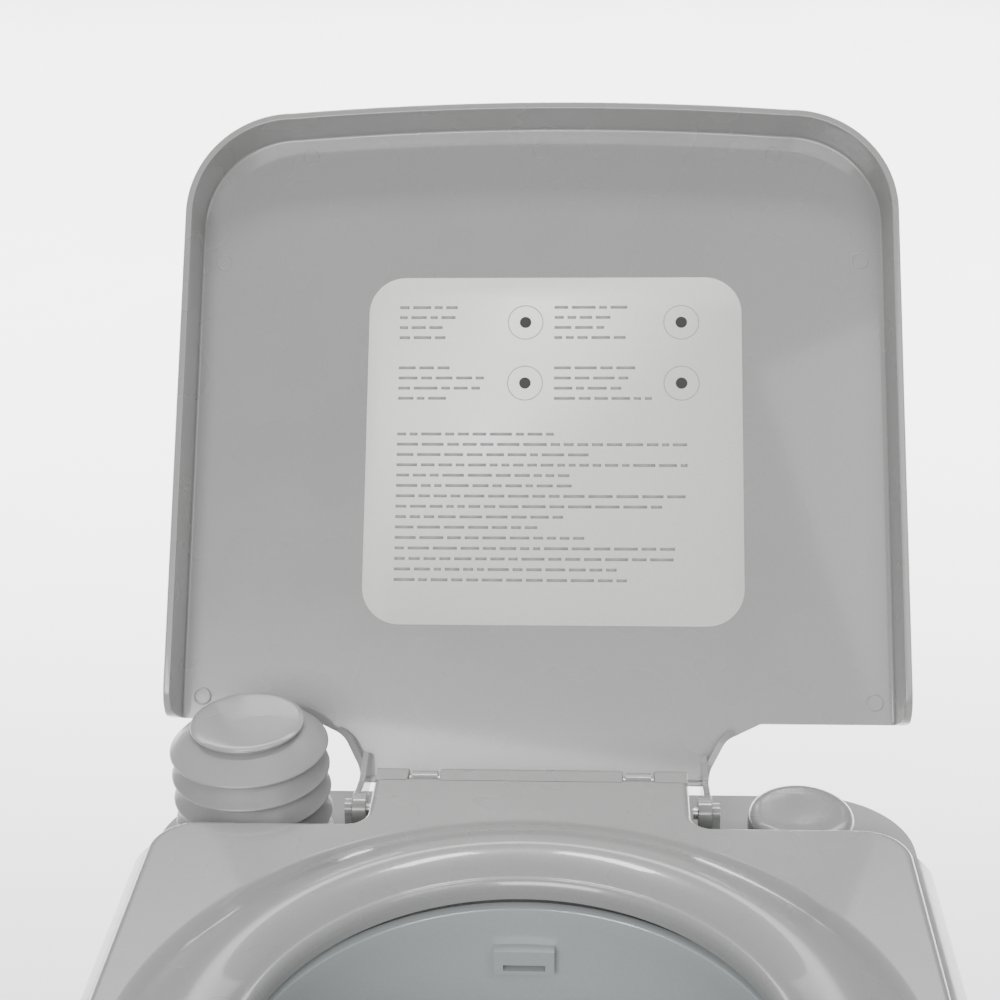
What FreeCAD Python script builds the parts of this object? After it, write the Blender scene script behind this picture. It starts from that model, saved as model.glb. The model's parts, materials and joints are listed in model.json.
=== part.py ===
"""Cassette toilet: a waste tank with a blade valve, a flush-water tank with bowl, bellows pump, seat and lid.

Millimetres. X is the width, +Y points to the rear, +Z is up. The origin is the middle of the underside.
The lid is drawn closed and then placed open on its hinge, which is how the toilet stands at rest.
"""
import FreeCAD, Part
import math
import os
import re
from FreeCAD import Placement, Rotation, Vector

DIMENSIONS = {
    # both tanks
    "tank_width": 365, "tank_depth": 414, "corner_round": 45, "wall": 3,
    "waste_top": 200, "upper_bottom": 202, "upper_top": 386, "deck_top": 350, "deck_front": 112,
    "shoulder_round": 24, "base_round": 10,
    # bowl and waste inlet
    "bowl_y": -45, "bowl_radius": 107, "outlet_radius": 45, "outlet_bottom": 205,
    # blade valve
    "channel_width": 150, "channel_floor": 188, "channel_back": 40, "blade_width": 104,
    "blade_low": 193, "blade_thickness": 3, "blade_back": 6,
    # hinges
    "hinge_y": 155.5, "lid_axis": 374, "seat_axis": 391, "lid_angle": 124.8,
    # seat
    "seat_bottom": 388, "seat_top": 396, "seat_width": 335, "seat_front": -188, "seat_back": 113,
    "seat_round": 20, "tab_half": 73, "ring_y": -34, "ring_a": 158, "ring_b": 150,
    "opening_y": -40, "opening_a": 104, "opening_b": 105, "barrel_radius": 6.5, "seat_pin": 2,
    # lid
    "lid_width": 365, "lid_front": -206, "lid_back": 111, "lid_rim": 386.6, "lid_inside": 411.2,
    "lid_skin": 3, "lid_corner": 54, "neck_half": 85, "flare_half": 108, "neck_back": 142,
    "ear_inner": 78, "ear_thickness": 6.5, "ear_radius": 8, "lid_pin": 3,
    "label_x": 8, "label_y": -28, "label_width": 193, "label_length": 182, "label_round": 19,
    # bellows pump
    "pump_x": -132.5, "pump_y": 157, "bellows_radius": 37.2, "bellows_waist": 28, "bellows_low": 356,
    "bellows_high": 418, "bellows_rings": 5, "button_radius": 26.6, "button_top": 422,
    # filler cap
    "cap_x": 127, "cap_y": 158, "cap_radius": 25, "cap_top": 375, "neck_radius": 20,
    # pour spout
    "spout_x": 150, "spout_y": 178, "spout_z": 165, "spout_radius": 19, "spout_end": 62,
    "recess_floor": 130, "recess_left": 14, "recess_front": 149,
    # side latches
    "latch_width": 50, "latch_pivot": 228,
}

doc = FreeCAD.newDocument("cassette_toilet")
sheet = doc.addObject("Spreadsheet::Sheet", "Sizes")
for row, (alias, number) in enumerate(DIMENSIONS.items(), start=1):
    sheet.set(f"A{row}", alias)
    sheet.set(f"B{row}", str(number))
    sheet.setAlias(f"B{row}", alias)
doc.recompute()

WORD = re.compile("[a-z]+(?:_[a-z]+)*")
HALF_WIDTH = sheet.tank_width / 2
HALF_DEPTH = sheet.tank_depth / 2
TILT = {"Z": Rotation(), "X": Rotation(Vector(0, 1, 0), 90), "Y": Rotation(Vector(1, 0, 0), -90)}
nodes = []


def bind(item, prop, formula):
    """Tie a property to a formula in the sheet's aliases."""
    text = WORD.sub(lambda m: f"Sizes.{m.group()}" if m.group() in DIMENSIONS else m.group(), str(formula))
    item.setExpression(prop, text)


def place(item, corner):
    for axis, formula in zip("xyz", corner):
        bind(item, f"Placement.Base.{axis}", formula)


def box(name, corner, size):
    item = doc.addObject("Part::Box", name)
    for prop, formula in zip(("Length", "Width", "Height"), size):
        bind(item, prop, formula)
    place(item, corner)
    return item


def rod(name, base, radius, height, along="Z"):
    item = doc.addObject("Part::Cylinder", name)
    item.Placement = Placement(Vector(), TILT[along])
    bind(item, "Radius", radius)
    bind(item, "Height", height)
    place(item, base)
    return item


def cut(name, base, *tools):
    """Base less the tools, as a Part::Cut with the tools fused."""
    item = doc.addObject("Part::Cut", name)
    item.Base = base
    item.Tool = tools[0] if len(tools) == 1 else fuse(f"{name}_tools", *tools)
    return item


def fuse(name, *shapes):
    item = doc.addObject("Part::MultiFuse", name)
    item.Shapes = list(shapes)
    return item


def round_edges(name, base, radius, wanted):
    """Fillet the edges of base whose middle point and direction satisfy wanted(middle, direction)."""
    doc.recompute()
    picks = []
    for number, edge in enumerate(base.Shape.Edges, start=1):
        middle = edge.valueAt((edge.FirstParameter + edge.LastParameter) / 2)
        direction = edge.tangentAt((edge.FirstParameter + edge.LastParameter) / 2)
        if wanted(middle, direction):
            picks.append((number, radius, radius))
    item = doc.addObject("Part::Fillet", name)
    item.Base = base
    item.Edges = picks
    return item


def upright(middle, direction):
    return abs(direction.z) > 0.99


def at_height(*levels):
    return lambda middle, direction: any(abs(middle.z - level) < 0.01 for level in levels)


def rounded_slab(name, corner, size, corner_radius, edge_radius, levels):
    """A box with rounded upright edges and with rounded edges at the given heights."""
    block = box(f"{name}_block", corner, size)
    slab = round_edges(f"{name}_corners", block, corner_radius, upright)
    if not levels:
        return slab
    return round_edges(f"{name}_edges", slab, edge_radius, at_height(*levels))


def feature(name, shape, at=None):
    item = doc.addObject("Part::Feature", name)
    item.Shape = shape
    item.Placement = at if at else Placement()
    return item


def node(item, label):
    """Name a finished sub-part; the name is also its file's name."""
    item.Label = label
    nodes.append(item)
    return item


def turned(name, at, points):
    """A PartDesign revolution about Z of a closed profile of (radius, height) points."""
    body = doc.addObject("PartDesign::Body", name)
    sketch = body.newObject("Sketcher::SketchObject", f"{name}_profile")
    sketch.AttachmentSupport = [(origin_plane(body, "XZ_Plane"), "")]
    sketch.MapMode = "FlatFace"
    for start, end in zip(points, points[1:] + points[:1]):
        sketch.addGeometry(Part.LineSegment(Vector(*start, 0), Vector(*end, 0)), False)
    turn = body.newObject("PartDesign::Revolution", f"{name}_turn")
    turn.Profile = sketch
    turn.ReferenceAxis = (sketch, ["V_Axis"])
    turn.Angle = 360
    body.Tip = turn
    place(body, at)
    return body


def origin_plane(body, role):
    return next(f for f in body.Origin.OriginFeatures if f.Role == role)


def padded(name, points, start, length, plane="YZ_Plane"):
    """A PartDesign pad of a closed outline; points may be (a, b) or (a, b, bulge middle a, b) for an arc."""
    body = doc.addObject("PartDesign::Body", name)
    sketch = body.newObject("Sketcher::SketchObject", f"{name}_outline")
    sketch.AttachmentSupport = [(origin_plane(body, plane), "")]
    sketch.MapMode = "FlatFace"
    sketch.AttachmentOffset = Placement(Vector(0, 0, start), Rotation())
    for here, after in zip(points, points[1:] + points[:1]):
        first, last = Vector(*here[:2], 0), Vector(*after[:2], 0)
        if len(here) == 4:
            sketch.addGeometry(Part.Arc(first, Vector(*here[2:], 0), last), False)
        else:
            sketch.addGeometry(Part.LineSegment(first, last), False)
    pad = body.newObject("PartDesign::Pad", f"{name}_pad")
    pad.Profile = sketch
    bind(pad, "Length", length)
    body.Tip = pad
    return body


def ellipse_prism(middle_y, radius_y, radius_x, low, high):
    """An upright prism on an ellipse, used as a cutter."""
    major, minor = max(radius_x, radius_y), min(radius_x, radius_y)
    edge = Part.Ellipse(Vector(0, 0, 0), major, minor).toShape()
    face = Part.Face(Part.Wire(edge))
    if radius_y > radius_x:
        face.rotate(Vector(), Vector(0, 0, 1), 90)
    face.translate(Vector(0, middle_y, low))
    return face.extrude(Vector(0, 0, high - low))


# ---- waste tank ---------------------------------------------------------------------------------
def tank_block(name, inset, low, high, top_round, low_round):
    corner = (f"-tank_width / 2 + {inset}", f"-tank_depth / 2 + {inset}", low)
    size = (f"tank_width - 2 * {inset}", f"tank_depth - 2 * {inset}", high - low)
    slab = rounded_slab(name, corner, size, sheet.corner_round - inset, low_round, (low,))
    return round_edges(f"{name}_top", slab, top_round, at_height(high)) if top_round else slab


def waste_tank():
    wall = sheet.wall
    outer = tank_block("waste_outer", 0, 0, sheet.waste_top, 4, sheet.base_round)
    inner = tank_block("waste_inner", wall, wall, sheet.waste_top - wall, 2, sheet.base_round - wall)
    channel_size = ("channel_width", "channel_back + tank_depth / 2 + 2", "waste_top - channel_floor + 2")
    channel = box("channel", ("-channel_width / 2", "-tank_depth / 2 - 2", "channel_floor"), channel_size)
    channel_wall = box("channel_wall", (f"-channel_width / 2 - {wall}", "-tank_depth / 2", "channel_floor - wall"),
                       (f"channel_width + 2 * {wall}", "channel_back + tank_depth / 2 + wall", "waste_top"))
    recess = box("recess", ("recess_left", "recess_front", "recess_floor"),
                 ("tank_width / 2", "tank_depth / 2", "waste_top"))
    recess_wall = box("recess_wall", ("recess_left - wall", "recess_front - wall", "recess_floor - wall"),
                      ("tank_width / 2", "tank_depth / 2", "waste_top"))
    hollow = cut("waste_hollow", inner, channel_wall, recess_wall, *latch_recess("lip_wall", 172, 220, wall))
    inlet = rod("waste_inlet", ("0", "bowl_y", "channel_floor - 10"), "outlet_radius + 1", "30")
    outlet = rod("waste_outlet", ("spout_x", "spout_y", "recess_floor - 20"), "spout_radius - 2", "30")
    vent = rod("vent_hole", ("32", "spout_y", "recess_floor - 20"), "3.4", "30")
    pilots = [rod(f"screw_pilot_{i}", (x, y, "channel_floor - 2.6"), "2", "6") for i, (x, y) in enumerate(SCREWS)]
    window = box("window_hole", ("112", "-tank_depth / 2 - 1", "70"), ("16", "wall + 2", "56"))
    window_recess = box("window_recess", ("108", "-tank_depth / 2 - 1", "66"), ("24", "2.2", "64"))
    shell = cut("waste_shell", outer, hollow, channel, recess, inlet, outlet, vent, window, window_recess,
                *latch_recess("lip_recess", 172, 220, 0), *pilots)
    lips = [latch_lip(side) for side in (-1, 1)]
    node(fuse("waste_tank", shell, *lips), "waste_tank")


def latch_lip(side):
    """The ledge on the tank's side that a latch hooks under, bevelled below."""
    name = "left_lip" if side < 0 else "right_lip"
    edge = side * (HALF_WIDTH - LATCH_DEPTH - 1)
    tip = side * (HALF_WIDTH - 5)
    points = [(edge, 194), (tip, 192), (tip, 190), (edge, 185)]
    return padded(name, points, -sheet.latch_width / 2, "latch_width", "XZ_Plane")


def valve():
    """The frame in the tank's channel, the blade that slides forward in it, and its grip."""
    low, thick = sheet.blade_low, sheet.blade_thickness
    plate = box("frame_plate", ("-channel_width / 2 + 0.5", "-tank_depth / 2 + 1", "channel_floor"),
                ("channel_width - 1", "channel_back + tank_depth / 2 - 1.5", "waste_top - channel_floor + 1.4"))
    slot = box("frame_slot", ("-blade_width / 2 - 0.4", "-tank_depth / 2 - 1", low - 0.3),
               ("blade_width + 0.8", "tank_depth / 2 + blade_back + 1.6", thick + 0.6))
    port = rod("frame_port", ("0", "bowl_y", "channel_floor - 1"), "outlet_radius", "20")
    holes = [rod(f"frame_hole_{i}", (x, y, "channel_floor - 1"), "2.1", "20") for i, (x, y) in enumerate(SCREWS)]
    sinks = [rod(f"frame_sink_{i}", (x, y, "waste_top - 1.4"), "4", "20") for i, (x, y) in enumerate(SCREWS)]
    node(cut("valve_frame", plate, slot, port, *holes, *sinks), "valve_frame")
    screws = [turned(f"valve_screw_{i}", (x, y, "0"), screw_profile(185.5, 201.2, 2, 3.8))
              for i, (x, y) in enumerate(SCREWS)]
    node(group("valve_frame_screws", screws), "valve_frame_screws")
    lip_low, lip_high = low + thick + 0.5, sheet.waste_top + 1
    ring = [(44.9, lip_low), (44.9, lip_high), (41, lip_high - 0.5), (41, lip_low)]
    node(turned("blade_seal", ("0", "bowl_y", "0"), ring), "blade_seal")
    slab = box("blade_slab", ("-blade_width / 2", "-tank_depth / 2 - 4", "blade_low"),
               ("blade_width", "tank_depth / 2 + blade_back + 4", "blade_thickness"))
    node(round_edges("valve_blade", slab, 8, lambda m, d: upright(m, d) and m.y > 0), "valve_blade")
    grip = rounded_slab("grip", ("-48", "-tank_depth / 2 - 22", "183"), ("96", "18", "20"), 7, 4, (183, 203))
    finger = box("grip_finger", ("-34", "-tank_depth / 2 - 16", "180"), ("68", "9", "17"))
    node(cut("valve_handle", grip, finger), "valve_handle")


SCREWS = (("-62", "20"), ("62", "20"), ("-62", "-110"), ("62", "-110"))


def screw_profile(low, high, shank, head):
    """Half section of a pan-head screw standing from low to high, with a round drive recess."""
    return [(0, high - 1.2), (1.3, high - 1.2), (1.3, high), (head - 0.6, high), (head, high - 0.8),
            (head, high - 2.5), (shank, high - 2.5), (shank, low + 2), (0, low)]


def group(name, solids):
    """Several like solids in one node."""
    doc.recompute()
    return feature(name, Part.makeCompound([solid.Shape for solid in solids]))


def pour_spout():
    """The swivelling spout: a stub in the recess floor, an elbow and a tube with a threaded cap."""
    floor, axis_z, x, y = sheet.recess_floor, sheet.spout_z, sheet.spout_x, sheet.spout_y
    outer, inner, end = sheet.spout_radius, sheet.spout_radius - 2.5, sheet.spout_end
    bend = 24

    def pipe(radius, low, far):
        route = Part.Wire([
            Part.LineSegment(Vector(x, y, low), Vector(x, y, axis_z - bend)).toShape(),
            Part.Arc(Vector(x, y, axis_z - bend),
                     Vector(x - bend * (1 - math.sqrt(0.5)), y, axis_z - bend * (1 - math.sqrt(0.5))),
                     Vector(x - bend, y, axis_z)).toShape(),
            Part.LineSegment(Vector(x - bend, y, axis_z), Vector(far, y, axis_z)).toShape()])
        ring = Part.Wire(Part.Circle(Vector(x, y, low), Vector(0, 0, 1), radius).toShape())
        return route.makePipeShell([ring], True, False)

    tube = pipe(outer, floor + 0.6, end).cut(pipe(inner, floor - 1, end - 2))
    flange = Part.makeCylinder(outer + 3.5, 2.4, Vector(x, y, floor + 0.6))
    flange = flange.cut(Part.makeCylinder(inner, 4, Vector(x, y, floor)))
    node(feature("pour_spout", tube.fuse(flange).removeSplitter()), "pour_spout")
    collar = [(outer + 0.3, floor + 3.2), (outer + 0.3, floor + 6), (outer + 7, floor + 6), (outer + 7, floor),
              (outer + 4, floor), (outer + 4, floor + 3.2)]
    node(turned("spout_collar", (x, y, "0"), collar), "spout_collar")
    seal = [(outer - 1.5, floor), (outer + 2.5, floor), (outer + 2.5, floor + 0.4), (outer - 1.5, floor + 0.4)]
    node(turned("spout_seal", (x, y, "0"), seal), "spout_seal")
    cap = Part.makeCylinder(outer + 5, 20, Vector(end - 4, y, axis_z), Vector(1, 0, 0))
    cap = cap.cut(Part.makeCylinder(outer + 1.4, 18, Vector(end - 1, y, axis_z), Vector(1, 0, 0)))
    for i in range(12):
        angle = i * math.pi / 6
        centre = Vector(end - 6, y + (outer + 6.5) * math.cos(angle), axis_z + (outer + 6.5) * math.sin(angle))
        cap = cap.cut(Part.makeCylinder(2.4, 24, centre, Vector(1, 0, 0)))
    node(feature("spout_cap", cap), "spout_cap")
    disc = Part.makeCylinder(outer - 0.2, 0.8, Vector(end - 0.9, y, axis_z), Vector(1, 0, 0))
    node(feature("spout_cap_seal", disc), "spout_cap_seal")


def vent_and_window():
    floor = sheet.recess_floor
    knob = [(0, floor - 12), (3, floor - 12), (3, floor + 3), (8, floor + 3), (8, floor + 6), (0, floor + 7)]
    node(turned("vent_button", ("32", "spout_y", "0"), knob), "vent_button")
    seal = [(3.1, floor - 9), (6.5, floor - 9), (6.5, floor - 7), (3.1, floor - 7)]
    node(turned("vent_seal", ("32", "spout_y", "0"), seal), "vent_seal")
    node(feature("vent_spring", spring(32, sheet.spout_y, floor + 0.3, floor + 2.8, 5.4, 0.4, 2)), "vent_spring")
    lens = rounded_slab("lens", ("108.3", "-tank_depth / 2", "66.3"), ("23.4", "1.1", "63.4"), 0.3, 0, ())
    pane = box("pane", ("112.3", "-tank_depth / 2 + 1", "70.3"), ("15.4", "2.5", "55.4"))
    node(fuse("level_window", lens, pane), "level_window")


def spring(x, y, low, high, radius, wire, turns):
    """A coil spring with the given wire radius, standing between two heights, swept in quarter turns."""
    steps = 16 * turns
    rise = (high - low - 2 * wire) / steps
    points = []
    for i in range(steps + 1):
        angle = i * math.pi / 8
        points.append(Vector(x + radius * math.cos(angle), y + radius * math.sin(angle), low + wire + rise * i))
    helix = Part.BSplineCurve()
    helix.interpolate(points)
    knots = helix.getKnots()
    spans = [helix.toShape(knots[i], knots[min(i + 4, steps)]) for i in range(0, steps, 4)]
    start = Part.Wire(Part.Circle(points[0], helix.tangent(knots[0])[0], wire).toShape())
    return Part.Wire(spans).makePipeShell([start], True, True)


# ---- flush-water tank ---------------------------------------------------------------------------
LATCH_HALF = 36
LATCH_DEPTH = 10


def latch_recess(name, low, high, grow):
    """Boxes for the two side recesses that hold the latches; grow adds the recess's own walls."""
    return [box(f"{name}_{side}", (x, -(LATCH_HALF + grow), low - grow),
                ("20", 2 * (LATCH_HALF + grow), high - low + 2 * grow))
            for side, x in (("left", f"-tank_width / 2 - 20 + {LATCH_DEPTH + grow}"),
                            ("right", f"tank_width / 2 - {LATCH_DEPTH + grow}"))]


def fresh_tank():
    wall, low, high = sheet.wall, sheet.upper_bottom, sheet.upper_top
    outer = tank_block("upper_outer", 0, low, high, sheet.shoulder_round, 4)
    inner = tank_block("upper_inner", wall, low + wall, high - wall, sheet.shoulder_round - wall, 2)
    step = box("deck_step", ("-tank_width / 2 - 5", "deck_front", "deck_top"),
               ("tank_width + 10", "tank_depth / 2", "60"))
    step_wall = box("deck_step_wall", ("-tank_width / 2 - 5", f"deck_front - {wall}", f"deck_top - {wall}"),
                    ("tank_width + 10", "tank_depth / 2", "60"))
    hollow = cut("upper_hollow", inner, step_wall, *latch_recess("latch_wall", low - 20, 246, wall))
    top_hole = rod("bowl_hole", ("0", "bowl_y", "upper_top - 20"), "bowl_radius + 2.6", "40")
    base_hole = rod("outlet_hole", ("0", "bowl_y", "upper_bottom - 5"), "outlet_radius + 8", "20")
    pump_hole = rod("pump_hole", ("pump_x", "pump_y", "deck_top - 20"), "13.6", "40")
    fill_hole = rod("fill_hole", ("cap_x", "cap_y", "deck_top - 20"), "neck_radius", "40")
    under = box("valve_clearance", ("-channel_width / 2", "-tank_depth / 2 - 1", "upper_bottom - 1"),
                ("channel_width", "channel_back + tank_depth / 2", "1.2"))
    node(cut("fresh_water_tank", outer, hollow, step, top_hole, base_hole, pump_hole, fill_hole, under,
             *latch_recess("latch_recess", low - 20, 246, 0)), "fresh_water_tank")


def bowl_profile(offset):
    """Radius and height down the bowl: steep under the rim, then a funnel to the outlet."""
    points = []
    for i in range(13):
        t = i / 12
        height = sheet.upper_top - 2 - (sheet.upper_top - sheet.outlet_bottom - 12) * t
        spread = (1 - t ** 2.2) ** 0.9
        points.append((sheet.outlet_radius + (sheet.bowl_radius - sheet.outlet_radius) * spread + offset, height))
    return points + [(sheet.outlet_radius + offset, sheet.outlet_bottom)]


def bowl():
    rim = [(sheet.bowl_radius + 6, sheet.upper_top + 0.1), (sheet.bowl_radius + 6, sheet.upper_top + 1.6),
           (sheet.bowl_radius, sheet.upper_top + 1.6)]
    outside = list(reversed(bowl_profile(2.4)))
    profile = bowl_profile(0) + outside + [(sheet.bowl_radius + 2.4, sheet.upper_top + 0.1)] + rim
    shell = turned("bowl_shell", ("0", "bowl_y", "0"), profile)
    port = box("nozzle_port", ("-13", "bowl_y + bowl_radius - 12", "358"), ("26", "20", "12"))
    node(cut("toilet_bowl", shell, port), "toilet_bowl")
    half = box("nozzle_block", ("-12.9", "bowl_y + bowl_radius - 6", "358.1"), ("25.8", "16", "11.8"))
    jet = box("nozzle_jet", ("-9", "bowl_y + bowl_radius - 7", "360"), ("18", "8", "3"))
    feed = rod("nozzle_feed", ("0", "bowl_y + bowl_radius", "364"), "4", "12", "Y")
    node(cut("flush_nozzle", half, jet, feed), "flush_nozzle")
    ring = [(sheet.outlet_radius + 2.5, 201.7), (sheet.outlet_radius + 7, 201.7), (sheet.outlet_radius + 7, 206),
            (sheet.outlet_radius + 2.5, 206)]
    node(turned("outlet_seal", ("0", "bowl_y", "0"), ring), "bowl_outlet_seal")


def hinge_bracket():
    """A plate on the deck with two seat lugs and, outside the lid's ears, two cheeks."""
    deck, y, plate_top = sheet.deck_top, sheet.hinge_y, sheet.deck_top + 5
    plate = box("hinge_plate", ("-90", "hinge_y - 15", "deck_top"), ("180", "32", "5"))
    parts = [rounded_plate(plate)]
    for i, x in enumerate((-56, 44)):
        parts.append(box(f"lug_{i}", (x, "hinge_y - 3", "deck_top + 4"), ("12", "6", "seat_axis - deck_top - 4")))
        parts.append(rod(f"lug_eye_{i}", (x, "hinge_y", "seat_axis"), "4", "12", "X"))
        foot = [(y - 12, plate_top - 1), (y + 12, plate_top - 1), (y + 3, plate_top + 16), (y - 3, plate_top + 16)]
        parts.append(padded(f"lug_foot_{i}", foot, x, "12"))
    for i, x in enumerate((-88.5, 85)):
        cheek = [(y - 10, plate_top - 1), (y + 10, plate_top - 1), (y + 4.6, sheet.lid_axis), (y - 4.6, sheet.lid_axis)]
        parts.append(padded(f"cheek_{i}", cheek, x, "3.5"))
        parts.append(rod(f"cheek_eye_{i}", (x, "hinge_y", "lid_axis"), "4.8", "3.5", "X"))
    pins = [rod("seat_bore", ("-60", "hinge_y", "seat_axis"), "seat_pin", "120", "X"),
            rod("left_cheek_bore", ("-100", "hinge_y", "lid_axis"), "lid_pin", "20", "X"),
            rod("right_cheek_bore", ("80", "hinge_y", "lid_axis"), "lid_pin", "20", "X")]
    holes = [rod(f"bracket_hole_{i}", (x, "hinge_y + 11", "deck_top - 1"), "2.1", "8")
             for i, x in enumerate(BRACKET_SCREWS)]
    node(cut("hinge_bracket", fuse("bracket_solid", *parts), *pins, *holes), "hinge_bracket")
    screws = [turned(f"bracket_screw_{i}", (x, "hinge_y + 11", "0"), screw_profile(deck, plate_top + 2.5, 2, 3.6))
              for i, x in enumerate(BRACKET_SCREWS)]
    node(group("hinge_screws", screws), "hinge_bracket_screws")
    node(rod("seat_pin_rod", (f"-tab_half + 2", "hinge_y", "seat_axis"), "seat_pin", "2 * tab_half - 4", "X"),
         "seat_hinge_pin")
    pins = [rod(f"lid_pin_{i}", (x, "hinge_y", "lid_axis"), "lid_pin", "12.5", "X")
            for i, x in enumerate((-88.5, 76))]
    node(group("lid_pins", pins), "lid_hinge_pins")


BRACKET_SCREWS = (-70, -24, 24, 70)


def rounded_plate(plate):
    return round_edges("hinge_plate_round", plate, 4, upright)


def filler():
    """The threaded filler neck, its cap and the cap's seal."""
    deck, outer, top = sheet.deck_top, sheet.cap_radius, sheet.cap_top
    bore = sheet.neck_radius - 3
    neck = [(bore, deck - 8), (sheet.neck_radius, deck - 8), (sheet.neck_radius, deck + 1), (bore + 3, top - 7),
            (bore, top - 7)]
    node(turned("filler_neck", ("cap_x", "cap_y", "0"), neck), "filler_neck")
    cap = [(0, top - 3), (outer - 3.6, top - 3), (outer - 3.6, deck + 1.5), (outer, deck + 1.5), (outer, top - 3.5),
           (outer - 1, top - 1), (outer - 3.5, top), (0, top)]
    node(turned("filler_cap", ("cap_x", "cap_y", "0"), cap), "filler_cap")
    ring = [(bore - 1, top - 6.6), (bore + 3.4, top - 6.6), (bore + 3.4, top - 3.4), (bore - 1, top - 3.4)]
    node(turned("filler_cap_seal", ("cap_x", "cap_y", "0"), ring), "filler_cap_seal")


def bellows_profile():
    """The outside of the bellows: stacked saucers with narrow waists, then the same line one wall inside."""
    pitch = (sheet.bellows_high - sheet.bellows_low) / sheet.bellows_rings
    outside = []
    for i in range(int(sheet.bellows_rings)):
        base = sheet.bellows_low + i * pitch
        outside += [(sheet.bellows_waist, base + 0.6), (sheet.bellows_radius, base + pitch * 0.19),
                    (sheet.bellows_radius, base + pitch * 0.3)]
    outside[0] = (sheet.bellows_waist, sheet.bellows_low)
    outside.append((21, sheet.bellows_high))
    inside = [(radius - 1.6, height) for radius, height in reversed(outside[:-1])]
    return outside + [(19, sheet.bellows_high - 0.6)] + inside


def pump():
    x, y, high = "pump_x", "pump_y", sheet.bellows_high
    low, top, radius = sheet.bellows_low, sheet.button_top, sheet.button_radius
    node(turned("bellows", (x, y, "0"), bellows_profile()), "pump_bellows")
    button = [(0, high + 0.2), (radius - 2.6, high + 0.2), (radius - 0.4, top - 2.8), (radius, top - 2.2),
              (radius - 0.6, top - 1.3), (radius - 4, top - 0.4), (0, top)]
    node(turned("button", (x, y, "0"), button), "pump_button")
    stem = [(0, 316), (10.8, 316), (10.8, 322), (4.5, 322), (4.5, high + 0.2), (0, high + 0.2)]
    node(turned("stem", (x, y, "0"), stem), "pump_plunger")
    collar = [(13.7, low - 6), (34, low - 6), (34, low - 1), (31, low - 0.1), (13.7, low - 0.1)]
    node(turned("collar", (x, y, "0"), collar), "pump_collar")
    barrel = [(11, 232), (13.4, 232), (13.4, low - 0.2), (11, low - 0.2)]
    node(turned("barrel", (x, y, "0"), barrel), "pump_cylinder")
    valve = [(3, 212), (11, 212), (11, 216), (13.4, 219), (13.4, 231.8), (6, 231.8), (6, 222), (3, 219)]
    node(turned("foot_valve_body", (x, y, "0"), valve), "foot_valve")
    ball = doc.addObject("Part::Sphere", "foot_ball")
    ball.Radius = 5
    place(ball, (x, y, "223.2"))
    node(ball, "foot_valve_ball")
    node(feature("return_spring", spring(sheet.pump_x, sheet.pump_y, low + 0.1, high - 0.9, 16, 0.8, 5)),
         "pump_return_spring")


def flush_hose():
    """From the pump cylinder along the back of the tank, then forward and up to the nozzle."""
    y, z, end = sheet.pump_y - 3, 330, 364
    start_x = sheet.pump_x + 13.45
    side, rise, last = 30, 20, 14
    slope = math.sqrt(0.5)
    turn_y = y - side
    back_y = turn_y - 20
    climb = end - last - z - rise
    points = [
        Part.LineSegment(Vector(start_x, y, z), Vector(-side, y, z)),
        Part.Arc(Vector(-side, y, z), Vector(-side * (1 - slope), y - side * (1 - slope), z), Vector(0, turn_y, z)),
        Part.LineSegment(Vector(0, turn_y, z), Vector(0, back_y, z)),
        Part.Arc(Vector(0, back_y, z), Vector(0, back_y - rise * slope, z + rise * (1 - slope)),
                 Vector(0, back_y - rise, z + rise)),
    ]
    if climb > 0.01:
        points.append(Part.LineSegment(Vector(0, back_y - rise, z + rise), Vector(0, back_y - rise, end - last)))
    bottom = Vector(0, back_y - rise, end - last)
    points.append(Part.Arc(bottom, Vector(0, back_y - rise - last * (1 - slope), end - last * (1 - slope)),
                           Vector(0, back_y - rise - last, end)))
    route = Part.Wire([piece.toShape() for piece in points])
    ring = Part.Wire(Part.Circle(Vector(start_x, y, z), Vector(1, 0, 0), 4).toShape())
    node(feature("flush_hose", route.makePipeShell([ring], True, False)), "flush_hose")


def latches():
    pins = []
    for side, name in ((-1, "left"), (1, "right")):
        inner = HALF_WIDTH - 4.3
        centre = HALF_WIDTH - 3
        pivot = sheet.latch_pivot
        outline = [(side * x, z) for x, z in (
            (inner, pivot), (inner, 189.6), (inner - 3.6, 186), (inner - 3.6, 183.5), (inner, 181), (inner + 3.2, 180),
            (HALF_WIDTH - 0.4, 184), (HALF_WIDTH - 0.4, pivot))]
        lever = padded(f"latch_{name}_lever", outline, -sheet.latch_width / 2, "latch_width", "XZ_Plane")
        eye = rod(f"latch_{name}_eye", (centre * side, "-latch_width / 2", "latch_pivot"), "3.4", "latch_width", "Y")
        bore = rod(f"latch_{name}_bore", (centre * side, "-latch_width / 2 - 1", "latch_pivot"), "2.05",
                   "latch_width + 2", "Y")
        node(cut(f"latch_{name}", fuse(f"latch_{name}_solid", lever, eye), bore), f"latch_{name}")
        pins.append(rod(f"latch_pin_{name}", (centre * side, -LATCH_HALF, "latch_pivot"), "2", 2 * LATCH_HALF, "Y"))
    node(group("latch_pin_pair", pins), "latch_pins")


# ---- seat and lid -------------------------------------------------------------------------------
def rounded_outline(corners):
    """Turn (x, y, radius) corners into an outline of straight runs and tangent arcs for padded."""
    outline = []
    for i, (x, y, radius) in enumerate(corners):
        if not radius:
            outline.append((x, y))
            continue
        here = Vector(x, y, 0)
        back = (Vector(*corners[i - 1][:2], 0) - here).normalize()
        ahead = (Vector(*corners[(i + 1) % len(corners)][:2], 0) - here).normalize()
        half = back.getAngle(ahead) / 2
        reach = radius / math.tan(half)
        middle = here + (back + ahead).normalize() * (radius / math.sin(half) - radius)
        first, last = here + back * reach, here + ahead * reach
        outline.append((first.x, first.y, middle.x, middle.y))
        outline.append((last.x, last.y))
    return outline


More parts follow.
